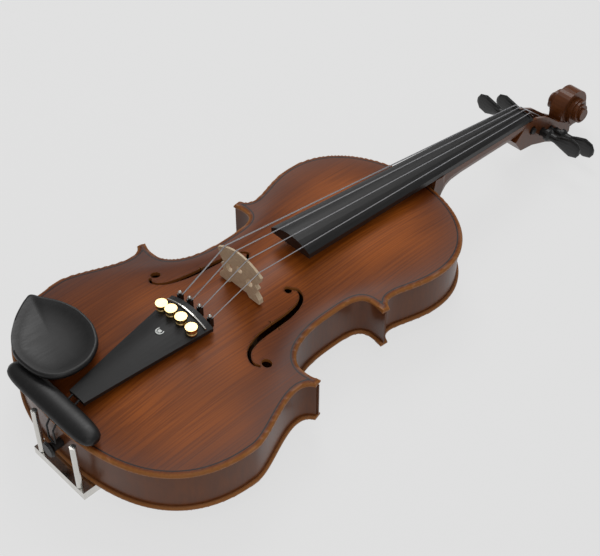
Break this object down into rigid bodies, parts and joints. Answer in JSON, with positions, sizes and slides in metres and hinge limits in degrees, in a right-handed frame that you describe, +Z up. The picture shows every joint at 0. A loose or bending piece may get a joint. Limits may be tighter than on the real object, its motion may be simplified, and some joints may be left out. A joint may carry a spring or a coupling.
{
  "type": "viola",
  "caption": "Viola with arched body, scroll, tuning pegs, lever tuners in the tailpiece and a clamped chinrest, strung and set up to play",
  "frame": {"origin": "middle of the small flat on the back's arch on which the viola lies", "axes": "+X treble side, +Y from the tail to the scroll, +Z up out of the belly"},
  "size_m": [0.243, 0.6632, 0.1106],
  "materials": {
    "spruce_varnish": "glossy",
    "maple_varnish": "glossy",
    "plain_wood": "matte",
    "bridge_wood": "satin",
    "string_metal": "satin",
    "gold_metal": "polished",
    "black_metal": "satin",
    "gut_plastic": "matte",
    "nickel_metal": "polished",
    "ebony": "satin"
  },
  "bodies": {
    "root": {"back": "maple_varnish", "bass_bar": "plain_wood", "belly": "spruce_varnish", "bridge": "bridge_wood", "chinrest": "ebony", "chinrest_bracket": "ebony", "corner_block_lower_bass": "plain_wood", "corner_block_lower_treble": "plain_wood", "corner_block_upper_bass": "plain_wood", "corner_block_upper_treble": "plain_wood", "end_block": "plain_wood", "end_button": "ebony", "fingerboard": "ebony", "neck": "maple_varnish", "neck_block": "plain_wood", "nut": "ebony", "rib_lower": "maple_varnish", "rib_upper_bass": "maple_varnish", "rib_upper_treble": "maple_varnish", "rib_waist_bass": "maple_varnish", "rib_waist_treble": "maple_varnish", "saddle": "ebony", "soundpost": "plain_wood", "string_a": "string_metal", "string_c": "string_metal", "string_d": "string_metal", "string_g": "string_metal", "tailgut": "gut_plastic", "tailpiece": "ebony", "tailpiece_fret": "nickel_metal"},
    "peg_c": {"peg_c": "ebony", "winding_c": "string_metal"},
    "peg_g": {"peg_g": "ebony", "winding_g": "string_metal"},
    "peg_d": {"peg_d": "ebony", "winding_d": "string_metal"},
    "peg_a": {"peg_a": "ebony", "winding_a": "string_metal"},
    "tuner_screw_c": {"tuner_screw_c": "gold_metal"},
    "tuner_lever_c": {"tuner_lever_c": "black_metal"},
    "tuner_screw_g": {"tuner_screw_g": "gold_metal"},
    "tuner_lever_g": {"tuner_lever_g": "black_metal"},
    "tuner_screw_d": {"tuner_screw_d": "gold_metal"},
    "tuner_lever_d": {"tuner_lever_d": "black_metal"},
    "tuner_screw_a": {"tuner_screw_a": "gold_metal"},
    "tuner_lever_a": {"tuner_lever_a": "black_metal"},
    "chinrest_foot": {"chinrest_foot": "nickel_metal"},
    "clamp_barrel_bass": {"clamp_barrel_bass": "nickel_metal"},
    "clamp_barrel_treble": {"clamp_barrel_treble": "nickel_metal"}
  },
  "joints": [
    {"name": "turn_peg_c", "type": "hinge", "parent": "root", "child": "peg_c", "pos_m": [0, 0.41241, 0.04253], "axis": [1, 0, 0], "continuous": true},
    {"name": "turn_peg_g", "type": "hinge", "parent": "root", "child": "peg_g", "pos_m": [0, 0.44516, 0.02601], "axis": [1, 0, 0], "continuous": true},
    {"name": "turn_peg_d", "type": "hinge", "parent": "root", "child": "peg_d", "pos_m": [0, 0.45628, 0.01767], "axis": [1, 0, 0], "continuous": true},
    {"name": "turn_peg_a", "type": "hinge", "parent": "root", "child": "peg_a", "pos_m": [0, 0.43007, 0.03179], "axis": [1, 0, 0], "continuous": true},
    {"name": "tilt_lever_c", "type": "hinge", "parent": "root", "child": "tuner_lever_c", "pos_m": [-0.018, -0.00805, 0.0711], "axis": [1, 0, 0], "range_deg": [0, 4]},
    {"name": "turn_screw_c", "type": "hinge", "parent": "root", "child": "tuner_screw_c", "pos_m": [-0.018, -0.02417, 0.07886], "axis": [0, -0.0147, 0.9999], "range_deg": [0, 1080]},
    {"name": "tilt_lever_g", "type": "hinge", "parent": "root", "child": "tuner_lever_g", "pos_m": [-0.006, -0.0081, 0.07398], "axis": [1, 0, 0], "range_deg": [0, 4]},
    {"name": "turn_screw_g", "type": "hinge", "parent": "root", "child": "tuner_screw_g", "pos_m": [-0.006, -0.02421, 0.08174], "axis": [0, -0.0147, 0.9999], "range_deg": [0, 1080]},
    {"name": "tilt_lever_d", "type": "hinge", "parent": "root", "child": "tuner_lever_d", "pos_m": [0.006, -0.0081, 0.07398], "axis": [1, 0, 0], "range_deg": [0, 4]},
    {"name": "turn_screw_d", "type": "hinge", "parent": "root", "child": "tuner_screw_d", "pos_m": [0.006, -0.02421, 0.08174], "axis": [0, -0.0147, 0.9999], "range_deg": [0, 1080]},
    {"name": "tilt_lever_a", "type": "hinge", "parent": "root", "child": "tuner_lever_a", "pos_m": [0.018, -0.00805, 0.0711], "axis": [1, 0, 0], "range_deg": [0, 4]},
    {"name": "turn_screw_a", "type": "hinge", "parent": "root", "child": "tuner_screw_a", "pos_m": [0.018, -0.02417, 0.07886], "axis": [0, -0.0147, 0.9999], "range_deg": [0, 1080]},
    {"name": "open_clamp", "type": "slide", "parent": "root", "child": "chinrest_foot", "axis": [0, 0.0147, -0.9999], "range_m": [0, 0.0015]},
    {"name": "turn_barrel_bass", "type": "hinge", "parent": "root", "child": "clamp_barrel_bass", "pos_m": [-0.0185, -0.14982, 0.03377], "axis": [0, -0.0147, 0.9999], "range_deg": [0, 540]},
    {"name": "turn_barrel_treble", "type": "hinge", "parent": "root", "child": "clamp_barrel_treble", "pos_m": [0.0295, -0.14982, 0.03377], "axis": [0, -0.0147, 0.9999], "range_deg": [0, 540]}
  ],
  "couplings": [
    {"joint": "tilt_lever_c", "follows": "turn_screw_c", "ratio": 0.0037037},
    {"joint": "tilt_lever_g", "follows": "turn_screw_g", "ratio": 0.0037037},
    {"joint": "tilt_lever_d", "follows": "turn_screw_d", "ratio": 0.0037037},
    {"joint": "tilt_lever_a", "follows": "turn_screw_a", "ratio": 0.0037037},
    {"joint": "turn_barrel_bass", "follows": "open_clamp", "rad_per_m": 6283.2},
    {"joint": "turn_barrel_treble", "follows": "open_clamp", "rad_per_m": 6283.2}
  ]
}
